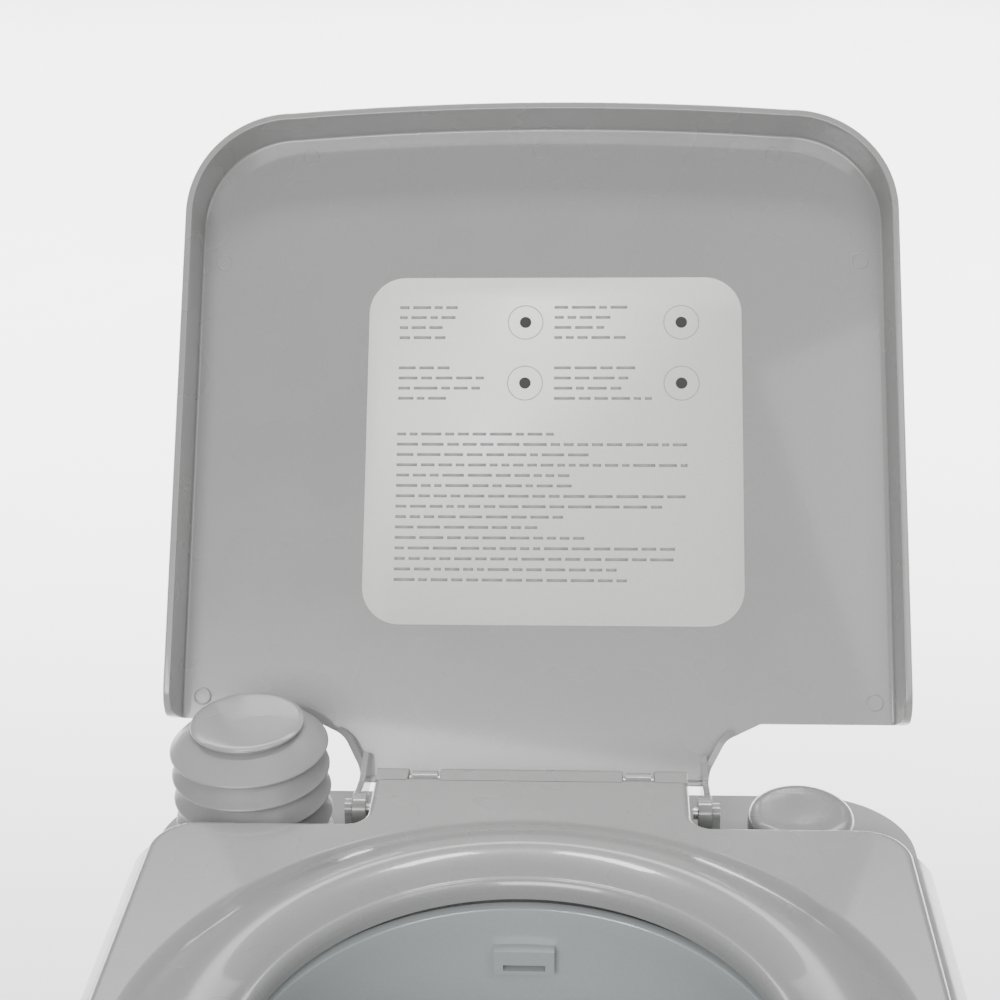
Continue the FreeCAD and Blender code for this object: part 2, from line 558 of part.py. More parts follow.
def seat():
    half, front, back = sheet.seat_width / 2, sheet.seat_front, sheet.seat_back
    tab, end, y = sheet.tab_half, sheet.hinge_y, sheet.hinge_y
    low, top, axis = sheet.seat_bottom, sheet.seat_top, sheet.seat_axis
    outline = rounded_outline([(half, front, 60), (half, back, sheet.seat_round), (tab, back, 9), (tab, end, 0),
                               (-tab, end, 0), (-tab, back, 9), (-half, back, sheet.seat_round), (-half, front, 60)])
    plate = padded("seat_plate", outline, low, top - low, "XY_Plane")
    a, b, middle = sheet.ring_a, sheet.ring_b, sheet.ring_y
    levels = ((0, 0), (3.5, 5), (8.5, 15), (12.5, 27))
    wires = []
    for rise, shrink in levels:
        edge = Part.Ellipse(Vector(), a - shrink, b - shrink).toShape()
        edge.translate(Vector(0, middle, top - 0.5 + rise))
        wires.append(Part.Wire(edge))
    ring = feature("seat_ring", Part.makeLoft(wires, True, True))
    opening = feature("seat_opening", ellipse_prism(sheet.opening_y, sheet.opening_a, sheet.opening_b, low - 5, 430))
    slope = []
    for rise, grow in ((3, -1), (12.6, 17)):
        edge = Part.Ellipse(Vector(), sheet.opening_b + grow, sheet.opening_a + grow).toShape()
        edge.translate(Vector(0, sheet.opening_y, top + rise))
        slope.append(Part.Wire(edge))
    dish = feature("seat_dish", Part.makeLoft(slope, True, True))
    inset = 5
    hollow_outline = rounded_outline([(half - inset, front + inset, 55), (half - inset, back - inset, 15),
                                      (-half + inset, back - inset, 15), (-half + inset, front + inset, 55)])
    hollow = padded("seat_hollow", hollow_outline, low - 1, 5.5, "XY_Plane")
    keep = feature("seat_inner_wall", ellipse_prism(sheet.opening_y, sheet.opening_a + 5, sheet.opening_b + 5,
                                                    low - 2, low + 6))
    pocket = cut("seat_pocket", hollow, keep)
    barrel = rod("tab_barrel", (-tab, "hinge_y", "seat_axis"), "barrel_radius", 2 * tab, "X")
    bore = rod("tab_bore", (-tab - 1, "hinge_y", "seat_axis"), "seat_pin + 0.05", 2 * tab + 2, "X")
    slots = []
    for i, x in enumerate((-57, 43)):
        slots.append(rod(f"lug_slot_{i}", (x, "hinge_y", "seat_axis"), "4.5", "14", "X"))
        mouth = [(y - 4.4, axis), (y - 4.4, axis - 9), (y + 12, axis - 9), (y + 12, axis + 5), (y + 2.2, axis + 3.9)]
        slots.append(padded(f"lug_mouth_{i}", mouth, x, "14"))
    solid = fuse("seat_solid", plate, ring, barrel)
    node(cut("seat", solid, opening, dish, pocket, bore, *slots), "seat")
    pads = [rod(f"seat_pad_{i}", (x, py, 386.2), "6", "seat_bottom + 4.4 - 386.2")
            for i, (x, py) in enumerate(((-150, 90), (150, 90), (-132, -150), (132, -150)))]
    node(group("seat_pads", pads), "seat_bumpers")


def lid_outline(inset, rear):
    """The lid's plan: a slightly arched front edge, large front corners and parallel sides."""
    half, front, corner = sheet.lid_width / 2 - inset, sheet.lid_front + inset, sheet.lid_corner - inset
    return rounded_outline([(half, front + 5, corner), (half, rear, 5), (-half, rear, 5),
                            (-half, front + 5, corner), (0, front, 900)])


def lid():
    """Drawn closed, and placed open."""
    rim, inside, skin, back = sheet.lid_rim, sheet.lid_inside, sheet.lid_skin, sheet.lid_back
    y, axis, top = sheet.hinge_y, sheet.lid_axis, sheet.lid_inside + sheet.lid_skin
    outer = padded("lid_outer", lid_outline(0, back), rim, top - rim, "XY_Plane")
    shell = round_edges("lid_round", outer, 9, lambda m, d: abs(m.z - top) < 0.01 and m.y < back - 1)
    inner = padded("lid_inner", lid_outline(skin, back + 30), rim - 1, inside - rim + 1, "XY_Plane")
    hollow = round_edges("lid_hollow", inner, 1.5, lambda m, d: abs(m.z - inside) < 0.01 and m.y < back)
    neck, flare, end = sheet.neck_half, sheet.flare_half, sheet.neck_back
    plan = rounded_outline([(flare + 6, back - 6, 0), (flare + 2, back - 0.5, 4), (neck + 6, back + 9, 16),
                            (neck, end - 8, 12), (neck, end, 0), (-neck, end, 0), (-neck, end - 8, 12),
                            (-neck - 6, back + 9, 16), (-flare - 2, back - 0.5, 4), (-flare - 6, back - 6, 0)])
    parts = [cut("lid_tray", shell, hollow), padded("lid_neck", plan, inside, skin, "XY_Plane")]
    for i, x in enumerate((-sheet.ear_inner - sheet.ear_thickness, sheet.ear_inner)):
        ear = rounded_outline([(back + 8, top - 0.6, 0), (end, top - 0.6, 3), (y + 7.4, axis + 3, 0),
                               (y - 7.4, axis - 3, 0), (back + 12, axis + 28, 8)])
        parts.append(padded(f"ear_{i}", ear, x, "ear_thickness"))
        parts.append(rod(f"ear_eye_{i}", (x, "hinge_y", "lid_axis"), "ear_radius", "ear_thickness", "X"))
    rib = [(end - 3, inside - 7), (end, inside - 7), (end, inside + 1), (end - 3, inside + 1)]
    parts.append(padded("neck_rib", rib, -neck + 1, "2 * neck_half - 2"))
    bore = rod("lid_bores", ("-neck_half - 5", "hinge_y", "lid_axis"), "lid_pin + 0.05", "2 * neck_half + 10", "X")
    closed = cut("lid_closed", fuse("lid_solid", *parts), bore)
    x, length_y = sheet.label_x, sheet.label_y
    sticker = rounded_slab("sticker", (x - sheet.label_width / 2, length_y - sheet.label_length / 2, inside - 0.3),
                           ("label_width", "label_length", "0.3"), sheet.label_round, 0, ())
    doc.recompute()
    pivot = Vector(0, y, axis)
    opened = Placement(Vector(), Rotation(Vector(-1, 0, 0), sheet.lid_angle), pivot)
    for shape, label in ((closed, "lid"), (sticker, "instruction_label")):
        node(feature(f"{label}_open", shape.Shape, opened), label)


def main():
    waste_tank()
    valve()
    pour_spout()
    vent_and_window()
    fresh_tank()
    bowl()
    hinge_bracket()
    filler()
    pump()
    flush_hose()
    latches()
    seat()
    lid()
    doc.recompute()
    for item in doc.Objects:
        if "Invalid" in item.State or "Error" in item.State:
            raise RuntimeError(f"{item.Name} failed: {item.State}")
    os.makedirs("parts", exist_ok=True)
    for item in nodes:
        shape = item.Shape
        if shape.isNull() or not shape.isValid() or not shape.Solids:
            raise RuntimeError(f"{item.Label} has no valid shape")
        shape.exportStep(f"parts/{item.Label}.step")
        print(f"{item.Label}: {len(shape.Solids)} solid(s), {shape.Volume / 1000:.1f} cm3")


main()
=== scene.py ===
"""Looks for the cassette toilet: finer moulded parts, procedural materials, light and camera."""
import json
import math
import random

import bmesh
import bpy
from mathutils import Matrix, Vector


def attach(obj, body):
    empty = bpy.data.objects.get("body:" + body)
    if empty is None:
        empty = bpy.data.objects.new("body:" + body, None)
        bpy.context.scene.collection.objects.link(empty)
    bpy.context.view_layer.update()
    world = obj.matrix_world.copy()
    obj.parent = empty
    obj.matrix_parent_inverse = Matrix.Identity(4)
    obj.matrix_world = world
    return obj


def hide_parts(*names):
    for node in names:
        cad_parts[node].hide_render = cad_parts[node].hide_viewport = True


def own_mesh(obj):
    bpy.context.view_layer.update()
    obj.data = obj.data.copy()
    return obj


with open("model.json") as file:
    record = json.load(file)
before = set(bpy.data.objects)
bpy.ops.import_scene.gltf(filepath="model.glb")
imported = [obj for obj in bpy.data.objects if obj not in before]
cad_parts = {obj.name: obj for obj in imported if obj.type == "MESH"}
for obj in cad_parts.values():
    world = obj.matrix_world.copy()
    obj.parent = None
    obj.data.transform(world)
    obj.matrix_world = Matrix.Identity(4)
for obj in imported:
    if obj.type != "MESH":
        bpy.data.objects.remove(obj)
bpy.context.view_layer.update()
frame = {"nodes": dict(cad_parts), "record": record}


# ---- materials ----------------------------------------------------------------------------------
def nodes_of(name):
    material = bpy.data.materials.new(name)
    material.use_nodes = True
    tree = material.node_tree
    return material, tree.nodes, tree.links, tree.nodes["Principled BSDF"]


def noise(nodes, links, scale, detail, coords):
    texture = nodes.new("ShaderNodeTexNoise")
    texture.inputs["Scale"].default_value = scale
    texture.inputs["Detail"].default_value = detail
    links.new(coords.outputs["Object"], texture.inputs["Vector"])
    return texture


def ramp(nodes, links, source, stops):
    """A colour ramp over a noise texture; stops are (position, colour)."""
    item = nodes.new("ShaderNodeValToRGB")
    item.color_ramp.interpolation = "EASE"
    for element, (position, colour) in zip(item.color_ramp.elements, stops):
        element.position = position
        element.color = (*colour, 1)
    links.new(source.outputs["Fac"], item.inputs["Fac"])
    return item


def rescale(nodes, links, source, low, high):
    item = nodes.new("ShaderNodeMapRange")
    item.interpolation_type = "SMOOTHERSTEP"
    item.inputs["From Min"].default_value = 0.15
    item.inputs["From Max"].default_value = 0.85
    item.inputs["To Min"].default_value = low
    item.inputs["To Max"].default_value = high
    links.new(source.outputs["Fac"], item.inputs["Value"])
    return item


def plastic(name, colour, roughness, coat=0.0, grain=0.02, peel=0.15, variation=0.015):
    """Moulded plastic: faint colour drift, uneven gloss, slow orange peel and a fine grain."""
    material, nodes, links, shader = nodes_of(name)
    coords = nodes.new("ShaderNodeTexCoord")
    drift = noise(nodes, links, 9, 1, coords)
    darker = tuple(c * (1 - variation) for c in colour)
    lighter = tuple(min(1, c * (1 + variation)) for c in colour)
    tint = ramp(nodes, links, drift, ((0.15, darker), (0.85, lighter)))
    speck = rescale(nodes, links, noise(nodes, links, 900, 1, coords), 0.975, 1.025)
    mottled = nodes.new("ShaderNodeVectorMath")
    mottled.operation = "SCALE"
    links.new(tint.outputs["Color"], mottled.inputs[0])
    links.new(speck.outputs["Result"], mottled.inputs["Scale"])
    links.new(mottled.outputs["Vector"], shader.inputs["Base Color"])
    smudge = noise(nodes, links, 22, 2, coords)
    gloss = rescale(nodes, links, smudge, roughness * 0.84, roughness * 1.18)
    links.new(gloss.outputs["Result"], shader.inputs["Roughness"])
    waves = noise(nodes, links, 38, 2, coords)
    wave_bump = nodes.new("ShaderNodeBump")
    wave_bump.inputs["Strength"].default_value = peel
    wave_bump.inputs["Distance"].default_value = 0.0004
    links.new(waves.outputs["Fac"], wave_bump.inputs["Height"])
    fine = noise(nodes, links, 1400, 2, coords)
    fine_bump = nodes.new("ShaderNodeBump")
    fine_bump.inputs["Strength"].default_value = grain
    fine_bump.inputs["Distance"].default_value = 0.0002
    links.new(fine.outputs["Fac"], fine_bump.inputs["Height"])
    links.new(wave_bump.outputs["Normal"], fine_bump.inputs["Normal"])
    links.new(fine_bump.outputs["Normal"], shader.inputs["Normal"])
    shader.inputs["Coat Weight"].default_value = coat
    shader.inputs["Coat Roughness"].default_value = 0.06
    shader.inputs["IOR"].default_value = 1.5
    return material


def brushed(name, colour, roughness):
    """Drawn steel: streaks along X that break up the gloss."""
    material, nodes, links, shader = nodes_of(name)
    coords = nodes.new("ShaderNodeTexCoord")
    stretch = nodes.new("ShaderNodeMapping")
    stretch.inputs["Scale"].default_value = (1, 60, 60)
    links.new(coords.outputs["Object"], stretch.inputs["Vector"])
    streaks = nodes.new("ShaderNodeTexNoise")
    streaks.inputs["Scale"].default_value = 40
    links.new(stretch.outputs["Vector"], streaks.inputs["Vector"])
    gloss = rescale(nodes, links, streaks, roughness * 0.7, roughness * 1.4)
    links.new(gloss.outputs["Result"], shader.inputs["Roughness"])
    tint = ramp(nodes, links, streaks, ((0.3, tuple(c * 0.85 for c in colour)), (0.7, colour)))
    links.new(tint.outputs["Color"], shader.inputs["Base Color"])
    shader.inputs["Metallic"].default_value = 1
    return material


def clear(name, colour):
    """A clear moulded pane with slightly uneven gloss."""
    material, nodes, links, shader = nodes_of(name)
    coords = nodes.new("ShaderNodeTexCoord")
    haze = noise(nodes, links, 60, 3, coords)
    gloss = rescale(nodes, links, haze, 0.04, 0.12)
    links.new(gloss.outputs["Result"], shader.inputs["Roughness"])
    shader.inputs["Base Color"].default_value = (*colour, 1)
    shader.inputs["Transmission Weight"].default_value = 0.85
    return material


MATERIALS = {
    "body_plastic": plastic("grey_plastic", (0.262, 0.268, 0.261), 0.27, coat=0.7),
    "bowl_plastic": plastic("bowl_plastic", (0.33, 0.352, 0.360), 0.2, coat=0.4, peel=0.08),
    "valve_plastic": plastic("dark_grey_plastic", (0.17, 0.175, 0.175), 0.34, grain=0.05),
    "bellows_rubber": plastic("soft_grey_plastic", (0.275, 0.281, 0.276), 0.36, coat=0.1, peel=0.1),
    "seal_rubber": plastic("seal_rubber", (0.018, 0.018, 0.018), 0.62, grain=0.12),
    "label_vinyl": plastic("label_white", (0.90, 0.893, 0.875), 0.42, grain=0.0, peel=0.06, variation=0.004),
    "clear_window": clear("clear_pane", (0.8, 0.86, 0.86)),
    "steel": brushed("drawn_steel", (0.62, 0.62, 0.62), 0.3),
    "clear_hose": plastic("hose_plastic", (0.62, 0.64, 0.63), 0.35, grain=0.0),
}
SLOTS = {item["node"]: item["material_slot"] for item in frame["record"]["subparts"]}


def finish_cad_nodes():
    """Every CAD node gets its slot's material and smooth shading."""
    for name, piece in frame["nodes"].items():
        piece.data.materials.clear()
        piece.data.materials.append(MATERIALS[SLOTS[name]])
        for face in piece.data.polygons:
            face.use_smooth = True


# ---- meshes -------------------------------------------------------------------------------------
def add_piece(name, mesh, body, slot, *replaced):
    piece = bpy.data.objects.new(name, mesh)
    bpy.context.scene.collection.objects.link(piece)
    if not mesh.materials:
        mesh.materials.append(MATERIALS[slot])
    for face in mesh.polygons:
        face.use_smooth = True
    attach(piece, body)
    if replaced:
        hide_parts(*replaced)
    return piece


def soften(piece, angle=35):
    """Smooth shading that still breaks at real edges."""
    modifier = piece.modifiers.new("edges", "EDGE_SPLIT")
    modifier.split_angle = math.radians(angle)


def mesh_from(name, rings, closed_ring=True, closed_loop=False, caps=False):
    """A skin over rings of equal length; closed_loop joins the last ring to the first."""
    mesh = bpy.data.meshes.new(name)
    count = len(rings[0])
    points = [tuple(p) for ring in rings for p in ring]
    faces = []
    around = count if closed_ring else count - 1
    layers = len(rings) if closed_loop else len(rings) - 1
    for i in range(layers):
        below, above = i * count, ((i + 1) % len(rings)) * count
        for k in range(around):
            after = (k + 1) % count
            faces.append((below + k, below + after, above + after, above + k))
    if caps:
        faces.append(tuple(range(count - 1, -1, -1)))
        faces.append(tuple(range(len(points) - count, len(points))))
    mesh.from_pydata(points, [], faces)
    mesh.validate()
    return outward(mesh)


def outward(mesh):
    work = bmesh.new()
    work.from_mesh(mesh)
    bmesh.ops.remove_doubles(work, verts=work.verts, dist=1e-6)
    bmesh.ops.recalc_face_normals(work, faces=work.faces)
    work.to_mesh(mesh)
    work.free()
    return mesh


def lathe(name, profile, centre, steps=128, closed=True):
    """Turn (radius, height) points about the upright line through centre."""
    rings = []
    for radius, height in profile:
        ring = []
        for k in range(steps):
            angle = 2 * math.pi * k / steps
            ring.append((centre[0] + radius * math.cos(angle), centre[1] + radius * math.sin(angle), height))
        rings.append(ring)
    return mesh_from(name, rings, closed_loop=closed)


def smooth_curve(points, steps=8, closed=False):
    """Catmull-Rom points through a list of 2-D points."""
    result = []
    count = len(points)
    spans = count if closed else count - 1
    for i in range(spans):
        p1, p2 = points[i], points[(i + 1) % count]
        p0 = points[i - 1] if (i > 0 or closed) else p1
        p3 = points[(i + 2) % count] if (i + 2 < count or closed) else p2
        for s in range(steps):
            t = s / steps
            result.append(tuple(
                0.5 * (2 * b + (c - a) * t + (2 * a - 5 * b + 4 * c - d) * t * t
                       + (3 * b - a - 3 * c + d) * t ** 3)
                for a, b, c, d in zip(p0, p1, p2, p3)))
    if not closed:
        result.append(tuple(points[-1]))
    return result


def rounded_corners(corners, arc_steps=10):
    """Plan outline of (x, y, radius) corners as points, arcs tangent to the straight runs."""
    outline = []
    for i, (x, y, radius) in enumerate(corners):
        here = Vector((x, y))
        back = (Vector(corners[i - 1][:2]) - here).normalized()
        ahead = (Vector(corners[(i + 1) % len(corners)][:2]) - here).normalized()
        if not radius:
            outline.append((x, y))
            continue
        half = back.angle(ahead) / 2
        centre = here + (back + ahead).normalized() * (radius / math.sin(half))
        first = here + back * (radius / math.tan(half)) - centre
        last = here + ahead * (radius / math.tan(half)) - centre
        sweep = first.angle_signed(last)
        for s in range(arc_steps + 1):
            turned = first.copy()
            turned.rotate(Matrix.Rotation(-sweep * s / arc_steps, 2))
            outline.append(tuple(centre + turned))
    return outline


# ---- lid ----------------------------------------------------------------------------------------
HINGE_Y = 0.1555
LID_AXIS_Z = 0.374
LID_ANGLE = math.radians(124.8)
LID_HALF, LID_FRONT, LID_BACK = 0.1825, -0.206, 0.111
LID_RIM, LID_INSIDE, LID_SKIN, LID_CORNER = 0.3866, 0.4112, 0.003, 0.054
NECK_HALF, NECK_BACK = 0.085, 0.142


def lid_opened(mesh):
    """Turn a mesh drawn with the lid closed into the open rest place."""
    pivot = Vector((0, HINGE_Y, LID_AXIS_Z))
    turn = Matrix.Rotation(-LID_ANGLE, 4, "X")
    mesh.transform(Matrix.Translation(pivot) @ turn @ Matrix.Translation(-pivot))
    return mesh


def plan_at(inset):
    """Open run of the lid's plan line at an inset, from the rear left round the front to the rear right."""
    half, front, corner = LID_HALF - inset, LID_FRONT + inset, LID_CORNER - inset
    near_end = [LID_BACK - back
                for back in (0, 0.0002, 0.0008, 0.0018, 0.0032, 0.005, 0.0075, 0.0105, 0.0145)]
    far = front + 0.005 + corner
    left = [(-half, y) for y in near_end + [near_end[-1] + (far - near_end[-1]) * k / 7 for k in range(1, 7)]]
    right = [(-x, y) for x, y in reversed(left)]
    run = []
    for k in range(25):
        angle = math.pi + 0.5 * math.pi * k / 24
        run.append((-half + corner + corner * math.cos(angle),
                    front + 0.005 + corner + corner * math.sin(angle)))
    flat = half - corner
    middle = []
    for k in range(1, 16):
        t = -1 + 2 * k / 16
        middle.append((flat * t, front + 0.005 * t * t))
    return left + run + middle + [(-x, y) for x, y in reversed(run)] + right


def rear_chain():
    """The panel's rear edge: in from the left, along the neck's curved side, across and back."""
    end = LID_HALF - 0.0095
    half = rounded_corners([(0, 0.09, 0), (-end, 0.09, 0), (-end, LID_BACK, 0), (-0.1115, LID_BACK, 0.0035),
                            (-0.094, LID_BACK + 0.0085, 0.014), (-NECK_HALF, NECK_BACK - 0.006, 0.016),
                            (-NECK_HALF, NECK_BACK, 0.0025), (0, NECK_BACK, 0)], 8)[2:-1]
    spaced = half[:1]
    for point in half[1:]:
        if math.dist(point, spaced[-1]) > 0.0009:
            spaced.append(point)
    return spaced + [(-x, y) for x, y in reversed(spaced)]


def end_rise(y, z):
    """The side walls' rear lower corners are rounded: how far a point at that height moves up."""
    start, size = 0.0965, 0.0145
    along = min(max((y - start) / size, 0.0), 1.0)
    share = (LID_INSIDE + LID_SKIN - z) / (LID_INSIDE + LID_SKIN - LID_RIM)
    return 0.013 * (1 - math.sqrt(1 - along * along)) * share


def lid_shell():
    """The tray, its panel and its neck as one skin."""
    top = LID_INSIDE + LID_SKIN
    profile = []
    for k in range(9):
        angle = 0.5 * math.pi * (1 - k / 8)
        profile.append((0.0095 - 0.0095 * math.cos(angle), top - 0.0095 + 0.0095 * math.sin(angle)))
    profile += [(0, LID_RIM + 0.0055), (0, LID_RIM + 0.0008), (0.0004, LID_RIM + 0.0002), (0.0011, LID_RIM),
                (0.0030, LID_RIM), (0.0034, LID_RIM + 0.0002), (0.0036, LID_RIM + 0.0007),
                (0.0040, LID_RIM + 0.005)]
    for k in range(5):
        angle = 0.5 * math.pi * k / 4
        profile.append((0.0062 - 0.0012 * math.cos(angle), LID_INSIDE - 0.0012 + 0.0012 * math.sin(angle)))
    rings = [[(x, y, z + end_rise(y, z)) for x, y in plan_at(inset)] for inset, z in profile]
    count = len(rings[0])
    points = [p for ring in rings for p in ring]
    faces = []
    for i in range(len(rings) - 1):
        for k in range(count - 1):
            a, b = i * count + k, (i + 1) * count + k
            faces.append((a, a + 1, b + 1, b))
    chain = rear_chain()
    outer_rear = [0] + list(range(len(points), len(points) + len(chain) - 2)) + [count - 1]
    points += [(x, y, top) for x, y in chain[1:-1]]
    last = (len(rings) - 1) * count
    inner_rear = [last] + list(range(len(points), len(points) + len(chain) - 2)) + [last + count - 1]
    points += [(x, y, LID_INSIDE) for x, y in chain[1:-1]]
    for k in range(len(chain) - 1):
        faces.append((outer_rear[k], outer_rear[k + 1], inner_rear[k + 1], inner_rear[k]))
    faces.append(tuple(i * count for i in range(len(rings))))
    faces.append(tuple(i * count + count - 1 for i in range(len(rings))))
    faces.append(tuple(range(count - 1, -1, -1)) + tuple(outer_rear[1:-1]))
    faces.append(tuple(range(last + count - 1, last - 1, -1)) + tuple(inner_rear[1:-1]))
    mesh = bpy.data.meshes.new("lid_shell")
    mesh.from_pydata(points, [], faces)
    return mesh


def prism(name, outline, low, high, plane="XY"):
    """A block between two levels across the named plane."""
    order = {"XY": (0, 1, 2), "YZ": (2, 0, 1), "XZ": (0, 2, 1)}[plane]
    rings = []
    for level in (low, high):
        rings.append([tuple((a, b, level)[order[i]] for i in range(3)) for a, b in outline])
    return mesh_from(name, rings, caps=True)


def join_meshes(name, meshes):
    """Several meshes in one."""
    work = bmesh.new()
    for mesh in meshes:
        work.from_mesh(mesh)
    bmesh.ops.recalc_face_normals(work, faces=work.faces)
    joined = bpy.data.meshes.new(name)
    work.to_mesh(joined)
    work.free()
    return joined


def rounded_bevel(piece, width, segments=3, angle=40):
    """A small radius on every real edge, with shading that follows the larger faces."""
    bevel = piece.modifiers.new("radius", "BEVEL")
    bevel.width = width
    bevel.segments = segments
    bevel.limit_method = "ANGLE"
    bevel.angle_limit = math.radians(angle)
    bevel.harden_normals = False
    normals = piece.modifiers.new("normals", "WEIGHTED_NORMAL")
    normals.keep_sharp = True


def ear(side):
    """The tongue that carries one of the lid's hinge eyes."""
    top, y, axis = LID_INSIDE + LID_SKIN, HINGE_Y, LID_AXIS_Z
    outline = rounded_corners([(0.1275, top - 0.0006, 0), (NECK_BACK, top - 0.0006, 0.003),
                               (y + 0.0072, axis + 0.003, 0.003), (y, axis - 0.0077, 0.006),
                               (y - 0.0072, axis - 0.003, 0.004), (0.1405, 0.3905, 0.012),
                               (0.1275, LID_INSIDE - 0.0105, 0)], 8)
    eye = [(y + 0.0079 * math.cos(0.13 * k), axis + 0.0079 * math.sin(0.13 * k)) for k in range(48)]
    inner, outer = 0.0814, 0.0845
    low, high = (inner, outer) if side > 0 else (-outer, -inner)
    arm = prism(f"arm_{side}", outline, low, high, "YZ")
    low, high = (0.078, 0.0848) if side > 0 else (-0.0848, -0.078)
    return join_meshes(f"ear_{side}", [arm, prism(f"eye_{side}", eye, low, high, "YZ")])


def neck_flange(side):
    """The wall that stands along the neck's curved side and deepens towards the hinge eye."""
    chain = [p for p in rear_chain() if -0.1095 < p[0] < 0][:-2]
    chain = [(x, y) for x, y in smooth_curve(chain, 2)]
    rings = []
    for k, (x, y) in enumerate(chain):
        before, after = chain[max(k - 1, 0)], chain[min(k + 1, len(chain) - 1)]
        run = Vector((after[0] - before[0], after[1] - before[1])).normalized()
        inward = Vector((run.y, -run.x)) * 0.0031
        share = min(max((x + 0.1115) / 0.024, 0.0), 1.0)
        depth = 0.0003 + 0.0125 * share * share * (3 - 2 * share) + 0.10 * max(0.0, y - 0.128)
        rings.append([(x, y, LID_INSIDE + 0.001), (x, y, LID_INSIDE - depth),
                      (x + inward.x, y + inward.y, LID_INSIDE - depth),
                      (x + inward.x, y + inward.y, LID_INSIDE + 0.001)])
    mesh = mesh_from(f"flange_{side}", rings, caps=True)
    if side > 0:
        mesh.transform(Matrix.Diagonal((-1, 1, 1, 1)))
        mesh.flip_normals()
    return mesh


PIN_MARKS = ((-0.122, -0.186), (0, -0.189), (0.122, -0.186), (-0.166, -0.128), (0.166, -0.128), (-0.168, 0.1),
             (0.168, 0.1))


def pin_marks():
    """Faint raised circles that ejector pins leave on the lid's inner face."""
    return [lathe("mark", [(0.0036, LID_INSIDE + 0.0001), (0.0038, LID_INSIDE - 0.00022),
                           (0.0042, LID_INSIDE - 0.00022),
                           (0.0044, LID_INSIDE + 0.0001)], place, 32) for place in PIN_MARKS]


def build_lid():
    shell = add_piece("lid_moulding", lid_opened(lid_shell()), "toilet_lid", "body_plastic", "lid")
    rounded_bevel(shell, 0.0005)
    rib = prism("rib", [(NECK_BACK - 0.003, LID_INSIDE - 0.007), (NECK_BACK, LID_INSIDE - 0.007),
                        (NECK_BACK, LID_INSIDE + 0.001), (NECK_BACK - 0.003, LID_INSIDE + 0.001)],
                -NECK_HALF + 0.001, NECK_HALF - 0.001, "YZ")
    ears = add_piece("lid_ears", lid_opened(join_meshes("ears", [ear(-1), ear(1), rib])), "toilet_lid",
                     "body_plastic")
    rounded_bevel(ears, 0.0005)
    walls = add_piece("lid_neck_walls", lid_opened(join_meshes("walls", [neck_flange(-1), neck_flange(1)])),
                      "toilet_lid", "body_plastic")
    soften(walls, 40)
    marks = add_piece("lid_marks", lid_opened(join_meshes("lid_marks", pin_marks())), "toilet_lid",
                      "body_plastic")
    soften(marks, 60)


# ---- seat ---------------------------------------------------------------------------------------
SEAT_LOW, SEAT_TOP, SEAT_HALF, SEAT_FRONT, SEAT_BACK = 0.388, 0.396, 0.1675, -0.188, 0.113
SEAT_AXIS_Z, TAB_HALF, BARREL = 0.391, 0.073, 0.005
RING_Y, RING_A, RING_B = -0.034, 0.158, 0.150
OPENING_Y, OPENING_A, OPENING_B, LIP = -0.040, 0.105, 0.104, 0.3909


def seat_outline(inset):
    """Plan line of the seat plate, with its tab, at an inset."""
    half, front, back = SEAT_HALF - inset, SEAT_FRONT + inset, SEAT_BACK - inset
    tab, end = TAB_HALF - inset, HINGE_Y - 0.005 - inset
    outline = rounded_corners([(half, front, 0.060 - inset), (half, back, 0.020 - inset),
                               (tab, back, 0.009 + inset), (tab, end, 0.0045), (-tab, end, 0.0045),
                               (-tab, back, 0.009 + inset), (-half, back, 0.020 - inset),
                               (-half, front, 0.060 - inset)], 12)
    dense = []
    for a, b in zip(outline, outline[1:] + outline[:1]):
        parts = max(1, int(math.dist(a, b) / 0.006))
        dense += [(a[0] + (b[0] - a[0]) * k / parts, a[1] + (b[1] - a[1]) * k / parts) for k in range(parts)]
    return dense


def ellipse_hit(centre_y, a, b, origin, direction):
    """Where a ray from origin leaves an upright-axis ellipse."""
    px, py = origin[0] / a, (origin[1] - centre_y) / b
    dx, dy = direction[0] / a, direction[1] / b
    q = dx * dx + dy * dy
    half = px * dx + py * dy
    reach = (-half + math.sqrt(half * half - q * (px * px + py * py - 1))) / q
    return origin[0] + direction[0] * reach, origin[1] + direction[1] * reach


